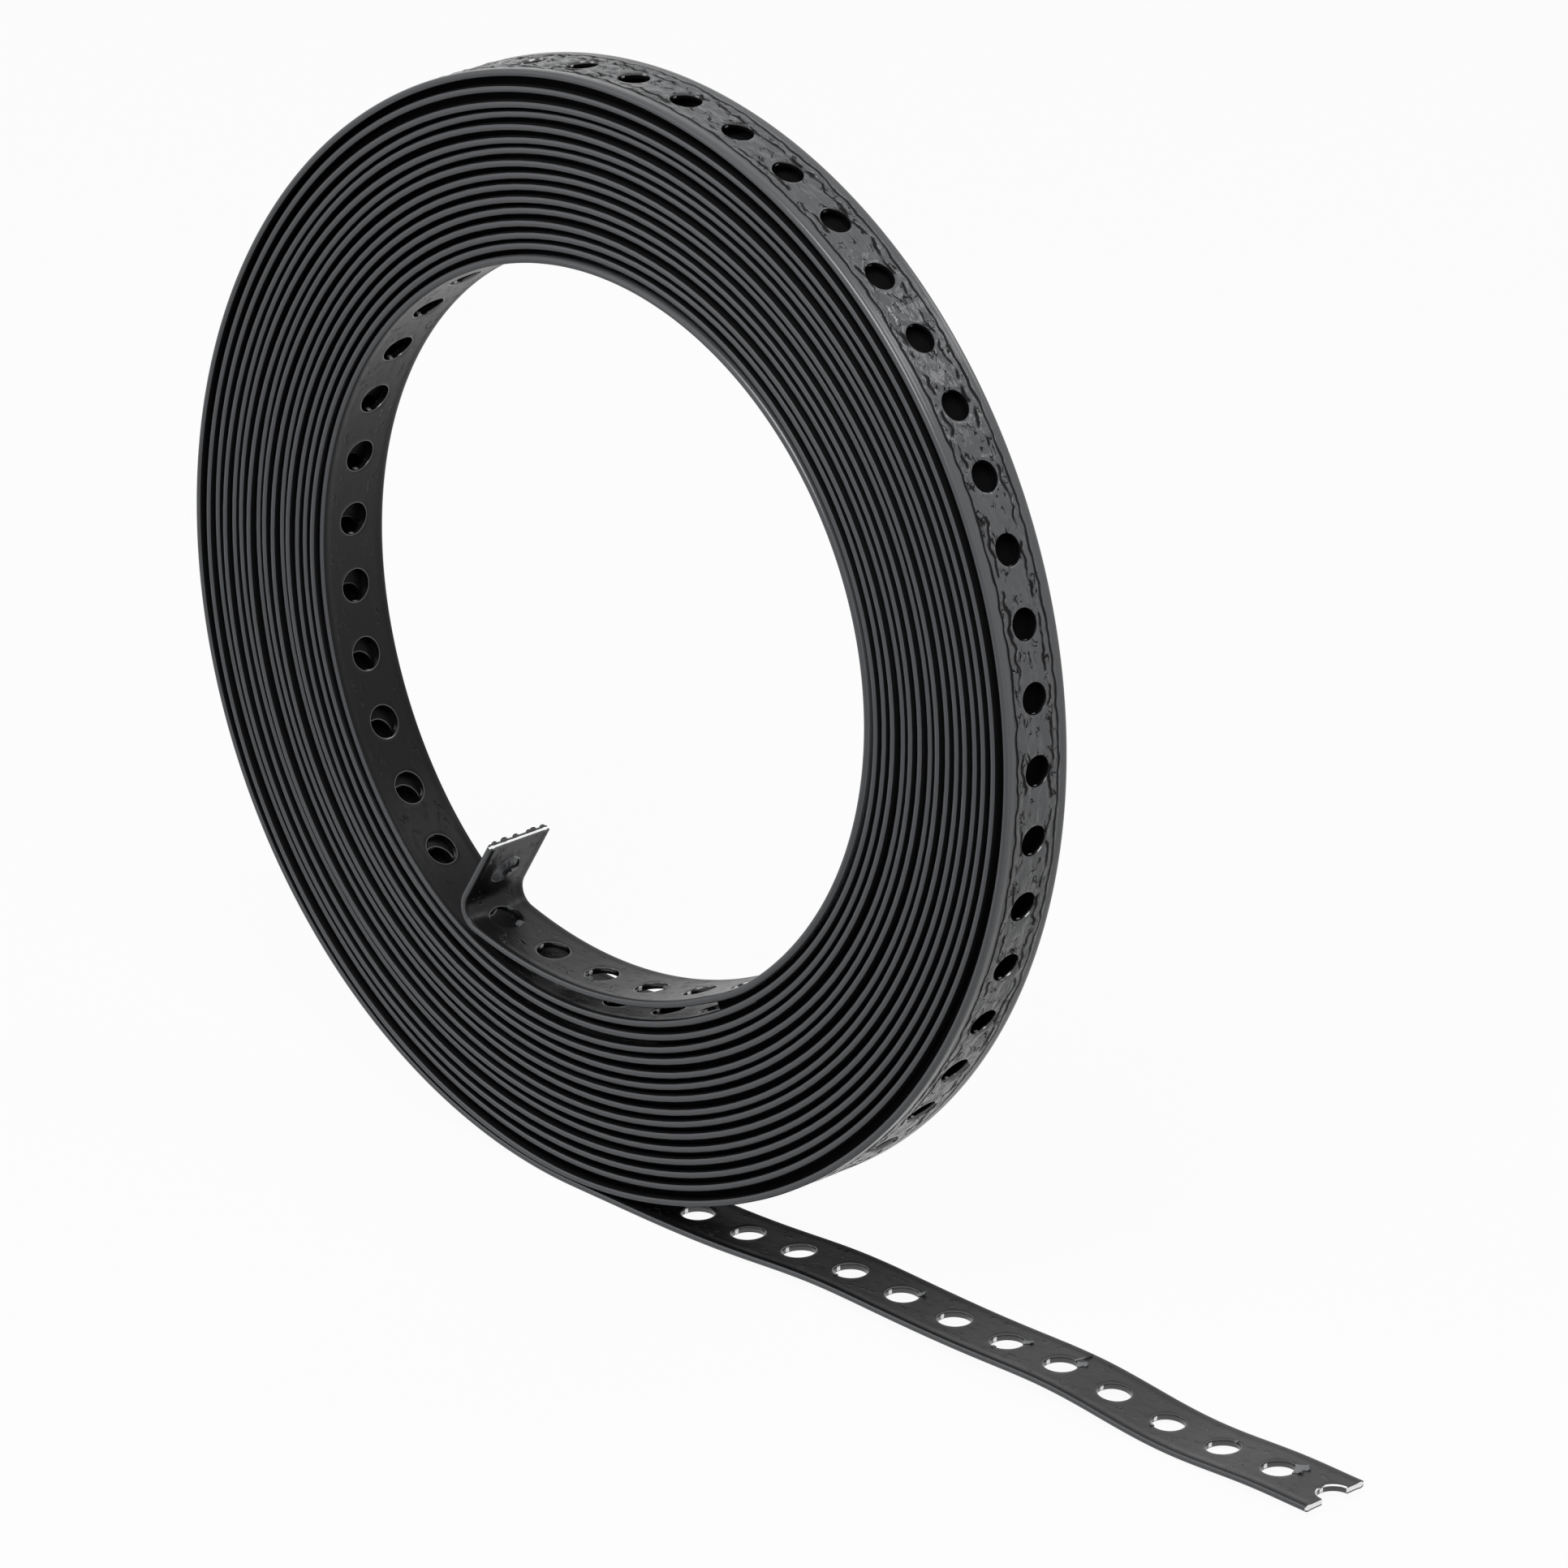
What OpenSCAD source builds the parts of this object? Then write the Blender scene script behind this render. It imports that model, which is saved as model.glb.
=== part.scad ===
// Perforated steel strap with a black plastic coat, wound into a coil that stands on its rim.
// It is one length of strap. The outer end runs out along the floor as a tail with one long wave,
// and the inner end lifts off the coil and is bent up into the bore.
// The turns of the coil are one turned solid, and they show on both ends as ridges and grooves.

/* [Strap] */
// Width over the coat, mm
strap_w = 17; // [13:0.5:26]
// Thickness over the coat, mm
strap_t = 1.5; // [1.2:0.1:2]
// Radius of the rounded edges, as a share of the thickness
edge_round = 0.6; // [0.55:0.05:0.8]
// Diameter of the holes, mm
hole_d = 7; // [5:0.1:9]
// Distance from hole to hole along the strap, mm
hole_pitch = 15; // [13:0.5:20]

/* [Coil] */
// Radius of the bore, mm
bore_r = 78.5; // [70:0.5:100]
// Turns in the coil
turns = 16; // [8:1:20]
// Growth of the radius per turn, mm
turn_step = 2.8; // [2.5:0.1:3.5]
// Depth of the grooves between the turns, mm
groove_depth = 1.5; // [1:0.1:3]
// Depth of the holes seen on the rim and in the bore, beyond the strap, mm
hole_floor = 0.6; // [0.3:0.1:0.9]

/* [Tail] */
// Whole holes of the tail that show past the coil
tail_holes = 12; // [10:1:16]
// First of those holes, from the coil's axis, mm
tail_first = 25.5; // [24:0.5:28]
// Height of the coil's lowest point over the floor, mm
coil_rise = 0.4; // [0.2:0.1:0.8]
// Start of the tail's wave, from the coil's axis, mm
wave_from = 15; // [10:1:30]
// Length of the wave, mm
wave_len = 165; // [120:5:170]
// Height of the wave, mm
wave_h = 2.2; // [0.5:0.1:3]
// Radius of the upturned end, mm
end_r = 310; // [250:10:400]

/* [Inner end] */
// Place on the coil where the inner end lifts off, degrees from its right side
lift_from = -48; // [-60:1:-40]
// Slope of the inner end where it lifts off, degrees
lift_slope = 6.5; // [4:0.5:8]
// Radius of the lifted run, mm
lift_r = 92; // [88:0.5:96]
// Sweep of the lifted run, degrees
lift_a = 55; // [50:1:58]
// Straight run of the inner end before the lip, mm
lift_run = 6; // [4:0.5:8]
// Outer radius of the lip's bend, mm
lip_r = 5.5; // [4:0.5:8]
// Angle of the lip's bend, degrees
lip_a = 100; // [90:1:120]
// Length of the lip past the bend, mm
lip_l = 15; // [12:0.5:18]
// Last hole before the lip's bend, mm
lip_hole = 1; // [0.5:0.5:3]
// Depth of the inner end in the coil where it lifts off, mm
lift_sink = 0.9; // [0.7:0.1:1.1]

/* [Hidden] */
$fn = 96;
coat_black = [0.13, 0.13, 0.14];
deg = 180 / PI;
edge_r = edge_round * strap_t;
// Coil
outer_r = bore_r + (turns - 1) * turn_step + strap_t;
coil_z = outer_r + coil_rise;
rim_step = hole_pitch / (outer_r - strap_t / 2) * deg;
rim_first = (hole_pitch * ceil(tail_first / hole_pitch) - tail_first) / hole_pitch * rim_step;
rim_count = floor((360 - rim_first) / rim_step);
// Tail
tail_start = -6;
tail_end = tail_first + tail_holes * hole_pitch;
tail_hidden = floor((tail_first - hole_d) / hole_pitch);
wave_to = wave_from + wave_len;
tail_steps = 30;
layers = [0, strap_t / 6, strap_t / 3];
// Inner end
lift_mid = lift_r - strap_t / 2;
lip_mid = lip_r - strap_t / 2;
lift_len = lift_mid * lift_a / deg;
lip_arc = lip_mid * lip_a / deg;
lift_steps = 14;
lip_steps = 11;
run_in = 8;
last_hole = lift_len + lift_run - lip_hole;
bore_step = hole_pitch / (bore_r + strap_t / 2) * deg;
bore_gap = hole_pitch * ceil(last_hole / hole_pitch) - last_hole;
bore_first = lift_from + bore_gap / hole_pitch * bore_step;
bore_count = floor((360 - bore_gap / hole_pitch * bore_step) / bore_step);
// Middle of the whole length on the origin
coil_x = (outer_r - tail_end) / 2;

// Section of the strap: width across, thickness up from the outer face
module section() {
    intersection() {
        translate([-strap_w, 0])
            square([2 * strap_w, strap_t]);
        union() {
            translate([-(strap_w / 2 - edge_r), -strap_t])
                square([strap_w - 2 * edge_r, 3 * strap_t]);
            for (side = [-1, 1])
                translate([side * (strap_w / 2 - edge_r), strap_t / 2])
                    circle(r = edge_r);
        }
    }
}

// The turns side by side, and what joins them, set back from both ends
module turns_section() {
    for (i = [0 : turns - 1])
        translate([bore_r + i * turn_step, 0])
            rotate(-90)
                section();
    translate([bore_r + strap_t / 2, -(strap_w / 2 - groove_depth)])
        square([(turns - 1) * turn_step, strap_w - 2 * groove_depth]);
}

// A hole cut radially into the rim or the bore, 0 degrees to the right and 90 at the top
module radial_hole(angle, from_r, to_r) {
    rotate([0, -angle, 0])
        translate([from_r, 0, 0])
            rotate([0, 90, 0])
                cylinder(d = hole_d, h = to_r - from_r);
}

// The wound turns
module coil() {
    translate([0, 0, coil_z])
        difference() {
            rotate([90, 0, 0])
                rotate_extrude()
                    turns_section();
            for (k = [0 : rim_count - 1])
                radial_hole(270 - rim_first - k * rim_step,
                    outer_r - strap_t - hole_floor, outer_r + 1);
            for (k = [0 : bore_count - 1])
                radial_hole(bore_first + k * bore_step,
                    bore_r - 1, bore_r + strap_t + hole_floor);
        }
}

// Height of the tail's underside at a place along it
function tail_z(x) =
    x < wave_from ? 0 :
    x < wave_to ? wave_h / 2 * (1 - cos(360 * (x - wave_from) / wave_len)) :
    (x - wave_to) * (x - wave_to) / (2 * end_r);

function tail_x(i) = wave_from + (tail_end - wave_from) * i / tail_steps;

// How far the rounded edge reaches out where the strap is that much thinner on each face
function edge_reach(d) = sqrt(edge_r * edge_r - pow(strap_t / 2 - d, 2));

// One layer of a strap that is drawn from the side, as wide as its rounded edges leave it
module layer(d) {
    rotate([90, 0, 0])
        linear_extrude(height = strap_w - 2 * edge_r + 2 * edge_reach(d), center = true)
            children();
}

module tail_side(d) {
    polygon(concat(
        [[tail_start, d]],
        [for (i = [0 : tail_steps]) [tail_x(i), tail_z(tail_x(i)) + d]],
        [for (i = [tail_steps : -1 : 0]) [tail_x(i), tail_z(tail_x(i)) + strap_t - d]],
        [[tail_start, strap_t - d]]
    ));
}

// The outer end, from under the coil, over one long wave to the cut across a hole
module tail() {
    difference() {
        union() {
            for (d = layers)
                layer(d)
                    tail_side(d);
        }
        for (k = [-tail_hidden : tail_holes])
            translate([tail_first + k * hole_pitch, 0, -1])
                cylinder(d = hole_d, h = wave_h + strap_t + 2);
    }
}

// Places on the inner end, which sets out to the left with its outer face down and bends up
function on_arc(c, r, a) = [c[0] - r * sin(a), c[1] - r * cos(a)];
function ahead(a, length) = [-length * cos(a), length * sin(a)];
lift_c = [0, lift_r];
lip_from = on_arc(lift_c, lift_r, lift_a) + ahead(lift_a, lift_run);
lip_c = lip_from + [lip_r * sin(lift_a), lip_r * cos(lift_a)];
lip_to = lift_a + lip_a;

module inner_side(d) {
    low = d;
    high = strap_t - d;
    polygon(concat(
        [[run_in, low]],
        [for (i = [0 : lift_steps]) on_arc(lift_c, lift_r - low, lift_a * i / lift_steps)],
        [for (i = [0 : lip_steps]) on_arc(lip_c, lip_r - low, lift_a + lip_a * i / lip_steps)],
        [on_arc(lip_c, lip_r - low, lip_to) + ahead(lip_to, lip_l)],
        [on_arc(lip_c, lip_r - high, lip_to) + ahead(lip_to, lip_l)],
        [for (i = [lip_steps : -1 : 0]) on_arc(lip_c, lip_r - high, lift_a + lip_a * i / lip_steps)],
        [for (i = [lift_steps : -1 : 0]) on_arc(lift_c, lift_r - high, lift_a * i / lift_steps)],
        [[run_in, high]]
    ));
}

// A hole across the inner end, at a place on its middle and square to a slope there
module inner_hole(place, slope) {
    translate([place[0], 0, place[1]])
        rotate([0, slope, 0])
            cylinder(d = hole_d, h = strap_t + 2, center = true);
}

module inner_strip() {
    difference() {
        union() {
            for (d = layers)
                layer(d)
                    inner_side(d);
        }
        for (s = [last_hole : -hole_pitch : hole_d]) {
            a = min(s / lift_mid * deg, lift_a);
            inner_hole(on_arc(lift_c, lift_mid, a) + ahead(a, max(s - lift_len, 0)), a);
        }
        inner_hole(on_arc(lip_c, lip_mid, lip_to) +
            ahead(lip_to, hole_pitch - lip_hole - lip_arc), lip_to);
    }
}

// The inner end in its place in the bore
module inner_end() {
    translate([0, 0, coil_z])
        rotate([0, -(lift_from + 90), 0])
            translate([0, 0, -(bore_r + lift_sink)])
                rotate([0, lift_slope, 0])
                    inner_strip();
}

module strap() {
    color(coat_black)
        translate([coil_x, 0, 0])
            union() {
                coil();
                tail();
                inner_end();
            }
}

strap();
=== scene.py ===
import math

import bmesh
import bpy
from mathutils import Matrix, Quaternion, Vector, noise


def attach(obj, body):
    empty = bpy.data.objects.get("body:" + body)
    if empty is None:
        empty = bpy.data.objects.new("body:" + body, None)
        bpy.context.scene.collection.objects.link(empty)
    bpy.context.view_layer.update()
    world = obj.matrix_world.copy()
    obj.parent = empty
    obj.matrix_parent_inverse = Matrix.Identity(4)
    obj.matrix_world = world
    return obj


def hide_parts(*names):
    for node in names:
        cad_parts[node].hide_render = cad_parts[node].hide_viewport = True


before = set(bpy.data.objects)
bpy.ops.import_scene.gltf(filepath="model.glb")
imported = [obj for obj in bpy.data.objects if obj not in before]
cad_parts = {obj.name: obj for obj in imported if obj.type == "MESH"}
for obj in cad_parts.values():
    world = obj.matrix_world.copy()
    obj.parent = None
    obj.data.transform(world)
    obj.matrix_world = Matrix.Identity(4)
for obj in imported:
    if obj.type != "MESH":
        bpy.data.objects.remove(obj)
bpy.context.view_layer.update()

MM = 0.001
# Vertices count as on a line or a plane within this, in metres
NEAR = 1e-6

# Strap, in millimetres
WIDTH = 17.0
THICK = 1.5
PITCH = 15.0
HOLE_R = 3.5
RIM_ROUND = 0.28
# The coat pools in the holes of the outermost turn, so they are narrower and rounder there
POOLED_HOLE_R = 3.15
POOLED_RIM_ROUND = 0.55
# How far the black wall of a hole reaches out over its rounded rim
WALL_REACH = 0.2
# Radius of the hole in turns that have none, which no wall reaches
NO_HOLE = -WALL_REACH
# Coat that shows as a dark rim round the steel, at the tail's cut and at the lip's
TAIL_COAT = 0.28
LIP_COAT = 0.5
# The coat stands proud in a bead along each edge: the flat between the beads, the step up to a bead,
# how many times as thick it is, and its rounding
FLAT = 13.4
BEAD_STEP = 0.4
BEAD_SWELL = 1.12
BEAD_ROUND = 0.8
# Mesh of a pitch: cuts in each side and rings round its hole
FINE_MESH, COARSE_MESH = (11, 3), (7, 1)
# About the length of one piece of the turns that have no holes
PLAIN_LENGTH = 5.0
# Faces that meet at less than this are shaded as one curve, in degrees
SHADE_ANGLE = 40.0

# Lumps of coat beside the holes, which keep the turns apart; they take the dull finish that paints shade
# between the turns
LUMP_AT = 4.8
LUMP_WIDTH = 1.6
LUMP_SINK = 0.3
# Their heights under the loose last turn, between the snug turns and under the innermost turn
LOOSE_LUMP, SNUG_LUMP, UNDER_LUMP = 2.6, 1.35, 1.1
# The lumps that fill the narrow end of the gap under the inner end, from the lip's tip
WEDGE_AT, WEDGE_LENGTH, WEDGE_HEIGHT = 109.0, 27.0, 2.0
WEDGE_CUTS = 6

# Winding angles, in degrees from the coil's right side: both ends of the coil, where the last turn
# opens, and where the outer, second, middle and under runs of the strap end
FIRST_TURN = -50.0
LAST_TURN = 5668.5
OPEN_LAP = 5400.0
OUTER_TO, SECOND_TO, MIDDLE_TO, UNDER_TO = 5250.0, 4740.0, 700.0, 296.0
# Step of the strap's path along the turns in degrees, and along the tail in millimetres
TURN_STEP, TAIL_STEP = 1.25, 1.5

# Coil: the mean radii of the innermost and outermost turns, and how far each is from round,
# as waves in a turn with their cosine and sine
COIL_X = -41.75
BORE_MID = 79.37
BORE_OVAL = ((1, -0.19, 1.9), (2, 0.59, 1.2))
RIM_MID = 121.3
RIM_OVAL = ((2, -0.32, 2.04),)
# The bore is fuller at the lower left: place and spread in degrees, and size
FULLER_AT, FULLER_SPREAD, FULLER = 245.0, 30.0, 2.8
# The turns lie snug, as a share of the way out to the rim, and the last one stands off them in steps:
# degrees before it opens, degrees that the step takes, and share
SNUG = 0.972
LOOSER = ((300.0, 80.0, 0.013), (110.0, 90.0, 0.015))
# Turns that lie closer together or wider apart at the lower left: turn and shift
CROWDED_AT, CROWDED_SPREAD = 235.0, 38.0
CROWDED_TURNS = ((1, -0.5), (2, 0.6), (3, 0.6))
# The turns sink towards the tail that they stand on, up to where the last one opens
SINK_AT, SINK_SPREAD, SINK, SINK_EASE = 260.0, 45.0, 1.1, 120.0
# The outermost turns sag by the tail: turns in from the last one, size and spread
SAG_BEFORE = 92.0
SAGS = ((0, 0.6, 14.0), (1, 0.5, 30.0), (2, 0.25, 30.0))
# The turn under the last one bulges at the upper right
BULGE_BEFORE, BULGE, BULGE_SPREAD = 300.0, 1.1, 25.0
# No turn is quite even, outwards and sideways: size, waves in a turn and phase
UNEVEN = ((0.13, 3.36606, 0.0), (0.1, 2.3, 1.0))
UNEVEN_END, UNEVEN_EASE = 60.0, 90.0
SIDEWAYS = ((0.2, 1.37, 0.4), (0.14, 0.61, 2.0))
SIDEWAYS_EASE_OUT, SIDEWAYS_EASE_IN = 120.0, 90.0

# Outer end, measured from the coil's axis
TAIL_END = 205.5
TAIL_PITCHES = 15
WAVE_FROM = 15.0
WAVE_LENGTH = 165.0
WAVE_HEIGHT = 2.2
END_RADIUS = 310.0
# Shorter ripples on the wave: place, height and spread
RIPPLES = ((66.0, 1.0, 20.0), (136.0, 1.6, 21.0), (190.0, 1.5, 18.0))

# Inner end: its least radius and where that is, how it curves off, and between which angles it lifts
LIFT_LOW = 75.7
LIFT_LOW_AT = 292.0
LIFT_CURVE = 0.00245
LIFT_OFF = 296.0
LIFT_TO = 245.0
BEND_RADIUS = 4.5
LIP_HEADING = 60.0
LIP_LENGTH = 15.2
LIP_HOLE = 9.3
LIFT_STEPS, BEND_STEPS, LIP_STEPS = 50, 18, 12

# The punched strap is drawn out a little on the hidden side of the coil, measured from each end
RIM_SLIDE = 2.7
RIM_SLIDE_FROM, RIM_SLIDE_TO = 220.0, 545.0
BORE_SLIDE = 4.0
BORE_SLIDE_FROM, BORE_SLIDE_TO = 110.0, 340.0
# Pitches by which the inner end's UV stops short of the tail's, so that a finish can tell them apart
CHART_GAP = 2

# Flow marks on the outer face: long runs, small lumps, and knobs that return with each pitch
BAND_FROM, BAND_EASE = 5.3, 1.2
RUN_LENGTH, RUN_WIDTH, RUN_HEIGHT = 5.5, 2.4, 0.26
KNUR_LENGTH, KNUR_WIDTH, KNUR_HEIGHT = 2.4, 1.6, 0.16
KNOB_AT, KNOB_SIZE, KNOB_HEIGHT = 4.5, 1.1, 0.3
HOLE_EASE = 0.8
# Most knobs stand out and some sink in: what is added to their noise, and its steps along and across
KNOB_BIAS, KNOB_ALONG, KNOB_ACROSS = 0.4, 1.7, 3.0
# Layers of the noise, so that small lumps and knobs don't follow the runs
KNUR_LAYER, KNOB_LAYER = 7.0, 2.0
# Where along the strap the coat is most wrinkled and over how long a run, the share of their height
# that the small lumps have on the plain strap, and what is added to it there
WRINKLED = ((561.0, 42.0), (671.0, 15.0))
PLAIN_SHARE, WRINKLED_SHARE = 0.75, 1.6

# Torn flakes of coat at the holes: hole, heading, length, width, curl, and whether it lies over the hole
TAIL_FLAKES = (
    (1, 222.0, 2.8, 3.2, 0.4, False),
    (1, 200.0, 1.8, 2.0, 0.5, False),
    (2, 265.0, 0.8, 0.8, 0.2, False),
    (3, 70.0, 0.7, 0.8, 0.2, False),
    (5, 222.0, 2.0, 2.2, 0.4, False),
    (5, 255.0, 3.6, 0.6, 0.3, False),
    (6, 215.0, 2.0, 1.8, 0.3, False),
    (6, 85.0, 0.8, 1.0, 0.2, False),
    (8, 225.0, 1.4, 1.4, 0.7, False),
    (9, 80.0, 0.7, 0.8, 0.2, False),
)
LIP_FLAKES = (
    (0, 235.0, 3.0, 4.0, 0.6, True),
    (0, 20.0, 2.2, 3.6, 0.4, True),
    (1, 300.0, 1.3, 3.0, 0.4, True),
    (1, 200.0, 1.2, 2.6, 0.3, True),
    (3, 90.0, 1.2, 2.4, 0.3, True),
    (4, 200.0, 1.0, 2.4, 0.3, True),
)
FLAKE = 0.22
FLAKE_CELLS = (9, 7)
# A flake's torn end and its sides vary by these shares, it narrows by a share, and it is crumpled
FLAKE_TORN, FLAKE_RAGGED, FLAKE_TAPER, FLAKE_CRUMPLE = 0.5, 0.4, 0.45, 0.3
# How often each of them changes on a flake
FLAKE_TEARS, FLAKE_RAGS, FLAKE_FOLDS = 5.0, 4.0, 3.0
# How far a flake over the hole, or one beside it, starts past the rim, and its height off the strap
FLAKE_GRIP_OVER, FLAKE_GRIP_BESIDE, FLAKE_OFF = 0.5, 0.2, 0.05
# Crumpled skin of coat that closes the lip's hole
SKIN_SIZE, SKIN_HEIGHT, SKIN_CRUMPLE, SKIN_FOLD = 7.4, 0.5, 0.35, 1.7
SKIN_CELLS = 18
# Beads of coat along the lip's cut edge: place across the strap and size, and how drawn out they are
LIP_BEADS = ((-7.2, 0.4), (-4.6, 0.5), (-3.3, 0.38), (0.4, 0.45), (3.6, 0.55), (6.4, 0.42))
LIP_BEAD_STRETCH = 1.7

# Finishes, in the order that the pieces hold them
INNER, OUTER, EDGE, STEEL, HOLE, HIDDEN, TORN = range(7)
# How faces are told apart: normals square to a cut and out of a face, how near to a face they lie as
# a share of half the thickness, what stands proud of it, and skin that lies inside a hole's wall
SQUARE_ON, FACING = 0.99, 0.7
BY_INNER, BY_OUTER = 0.9, 0.7
PROUD, SKIN_INSET = 0.02, 0.1
STEEL_SHARE = 0.9


def smooth(value):
    """Eases from 0 to 1 as the value goes from 0 to 1."""
    value = min(max(value, 0.0), 1.0)
    return value * value * (3.0 - 2.0 * value)


def hump(value, centre, spread):
    """1 at the centre, falling off to both sides."""
    return math.exp(-(((value - centre) / spread) ** 2))


def oval(a, waves):
    """How far a turn is from round at an angle."""
    return sum(cosine * math.cos(count * a) + sine * math.sin(count * a) for count, cosine, sine in waves)


def uneven(a, waves):
    """How far a turn is from even at an angle."""
    return sum(size * math.sin(count * a + phase) for size, count, phase in waves)


def turn_radius(turn):
    """Radius of the strap's middle at a winding angle."""
    a = math.radians(turn)
    at = turn % 360.0
    bore = BORE_MID + oval(a, BORE_OVAL) + FULLER * hump(at, FULLER_AT, FULLER_SPREAD)
    rim = RIM_MID + oval(a, RIM_OVAL)
    wound = (turn - FIRST_TURN) / (LAST_TURN - FIRST_TURN)
    looser = sum(share * smooth((turn - OPEN_LAP + before) / ease) for before, ease, share in LOOSER)
    radius = bore + (rim - bore) * wound * (SNUG + looser)
    for lap, shift in CROWDED_TURNS:
        radius += shift * hump(turn, 360.0 * lap + CROWDED_AT, CROWDED_SPREAD)
    radius += SINK * hump(at, SINK_AT, SINK_SPREAD) * (1 - smooth((turn - OPEN_LAP) / SINK_EASE))
    for lap, sag, spread in SAGS:
        radius += sag * hump(turn, OPEN_LAP - SAG_BEFORE - 360.0 * lap, spread)
    radius += BULGE * hump(turn, OPEN_LAP - BULGE_BEFORE, BULGE_SPREAD)
    return radius + uneven(a, UNEVEN) * smooth((LAST_TURN - UNEVEN_END - turn) / UNEVEN_EASE)


def turn_side(turn):
    """How far a turn stands out of the coil's middle plane."""
    side = uneven(math.radians(turn), SIDEWAYS)
    side *= smooth((LAST_TURN - turn) / SIDEWAYS_EASE_OUT)
    return side * smooth((turn - FIRST_TURN) / SIDEWAYS_EASE_IN)


COIL_Z = THICK / 2 - turn_radius(LAST_TURN) * math.sin(math.radians(LAST_TURN))


def polar(radius, angle, side=0.0):
    """A place in the coil's plane, with x to the right and y up, and its distance from that plane."""
    a = math.radians(angle)
    return (COIL_X + radius * math.cos(a), COIL_Z + radius * math.sin(a), side)


def turn_points(stop):
    """The coil's turns from the last one in to a winding angle."""
    count = max(int((LAST_TURN - stop) / TURN_STEP), 1)
    turns = [LAST_TURN + (stop - LAST_TURN) * i / count for i in range(count + 1)]
    return [polar(turn_radius(turn), turn, turn_side(turn)) for turn in turns]


def tail_height(x):
    """Height of the tail's middle at a distance from the coil's axis."""
    if x < WAVE_FROM:
        lift = 0.0
    elif x < WAVE_FROM + WAVE_LENGTH:
        lift = WAVE_HEIGHT / 2 * (1 - math.cos(math.tau * (x - WAVE_FROM) / WAVE_LENGTH))
    else:
        lift = (x - WAVE_FROM - WAVE_LENGTH) ** 2 / (2 * END_RADIUS)
    ripples = sum(height * hump(x, place, spread) for place, height, spread in RIPPLES)
    return THICK / 2 + lift + ripples


def tail_points():
    """The tail from its cut end to where it runs up into the coil."""
    foot = turn_radius(LAST_TURN) * math.cos(math.radians(LAST_TURN))
    count = int((TAIL_END - foot) / TAIL_STEP)
    places = [TAIL_END + (foot - TAIL_END) * i / count for i in range(count)]
    return [(COIL_X + x, tail_height(x), 0.0) for x in places]


def lift_radius(angle):
    """Radius of the lifted inner end, easing into the first turn."""
    lifted = LIFT_LOW + LIFT_CURVE * (angle - LIFT_LOW_AT) ** 2
    part = smooth((angle - LIFT_OFF) / (360.0 + FIRST_TURN - LIFT_OFF))
    return lifted + (turn_radius(angle - 360.0) - lifted) * part


def inner_points():
    """The inner end from where it leaves the coil up to the lip's tip."""
    span = 360.0 + FIRST_TURN - LIFT_TO
    angles = [360.0 + FIRST_TURN - span * i / LIFT_STEPS for i in range(1, LIFT_STEPS + 1)]
    run = [polar(lift_radius(angle), angle) for angle in angles]
    place = Vector(run[-1])
    ahead = place - Vector(run[-2])
    heading = math.degrees(math.atan2(ahead.y, ahead.x)) % 360.0
    turn = (LIP_HEADING - heading) / BEND_STEPS
    stride = 2 * BEND_RADIUS * math.sin(math.radians(abs(turn)) / 2)
    for i in range(BEND_STEPS):
        way = math.radians(heading + turn * (i + 0.5))
        place = place + stride * Vector((math.cos(way), math.sin(way), 0.0))
        run.append(tuple(place))
    way = math.radians(LIP_HEADING)
    for i in range(1, LIP_STEPS + 1):
        reach = LIP_LENGTH * i / LIP_STEPS
        run.append(tuple(place + reach * Vector((math.cos(way), math.sin(way), 0.0))))
    return run


def path_length(points):
    return sum((Vector(b) - Vector(a)).length for a, b in zip(points, points[1:]))


def length_to(turn):
    """Length of strap from the cut end of the tail to a winding angle."""
    return path_length(tail_points() + turn_points(turn))


def only(piece):
    """Selects one piece alone and makes it the active one."""
    bpy.ops.object.select_all(action="DESELECT")
    piece.select_set(True)
    bpy.context.view_layer.objects.active = piece


def choose(piece, kind, test):
    """Selects the vertices, edges or faces that pass a test, in edit mode."""
    bpy.ops.mesh.select_mode(type=kind)
    bpy.ops.mesh.select_all(action="DESELECT")
    mesh = bmesh.from_edit_mesh(piece.data)
    mesh.normal_update()
    for item in {"VERT": mesh.verts, "EDGE": mesh.edges, "FACE": mesh.faces}[kind]:
        if test(item):
            item.select_set(True)
    mesh.select_flush_mode()
    bmesh.update_edit_mesh(piece.data)


def apply_modifier(piece, kind, **settings):
    """Adds a modifier with its settings and applies it."""
    only(piece)
    modifier = piece.modifiers.new(kind.title(), kind)
    for name, value in settings.items():
        setattr(modifier, name, value)
    bpy.ops.object.modifier_apply(modifier=modifier.name)


def level(edge):
    """An edge whose ends are at one height."""
    return abs(edge.verts[0].co.z - edge.verts[1].co.z) < NEAR


def on_edge(edge):
    """A long edge of the flat strap, before it is rounded."""
    return level(edge) and all(abs(abs(v.co.y) - WIDTH / 2 * MM) < NEAR for v in edge.verts)


def on_rim(radius):
    """An edge round a hole of that radius, on one of the strap's faces."""
    return lambda edge: level(edge) and all(abs(v.co.xy.length - radius * MM) < NEAR for v in edge.verts)


def at_joint(length):
    """A face that would close one length of strap where it meets the next."""
    return lambda face: abs(face.normal.x) > SQUARE_ON and (
        abs(abs(face.calc_center_median().x) - length / 2 * MM) < NEAR
    )


def on_outer_flat(face):
    """A face of the flat between the beads, on the strap's outer side."""
    return all(
        abs(v.co.z + THICK / 2 * MM) < NEAR and abs(v.co.y) < FLAT / 2 * MM + NEAR for v in face.verts
    )


def sheet(name, length):
    """A flat sheet, as long as one length of strap and as wide as the flat between its beads."""
    bpy.ops.object.select_all(action="DESELECT")
    bpy.ops.mesh.primitive_plane_add(size=1.0)
    piece = bpy.context.object
    piece.name = piece.data.name = name
    bpy.ops.object.mode_set(mode="EDIT")
    bpy.ops.transform.resize(value=(length * MM, FLAT * MM, 1.0))
    return piece


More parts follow.
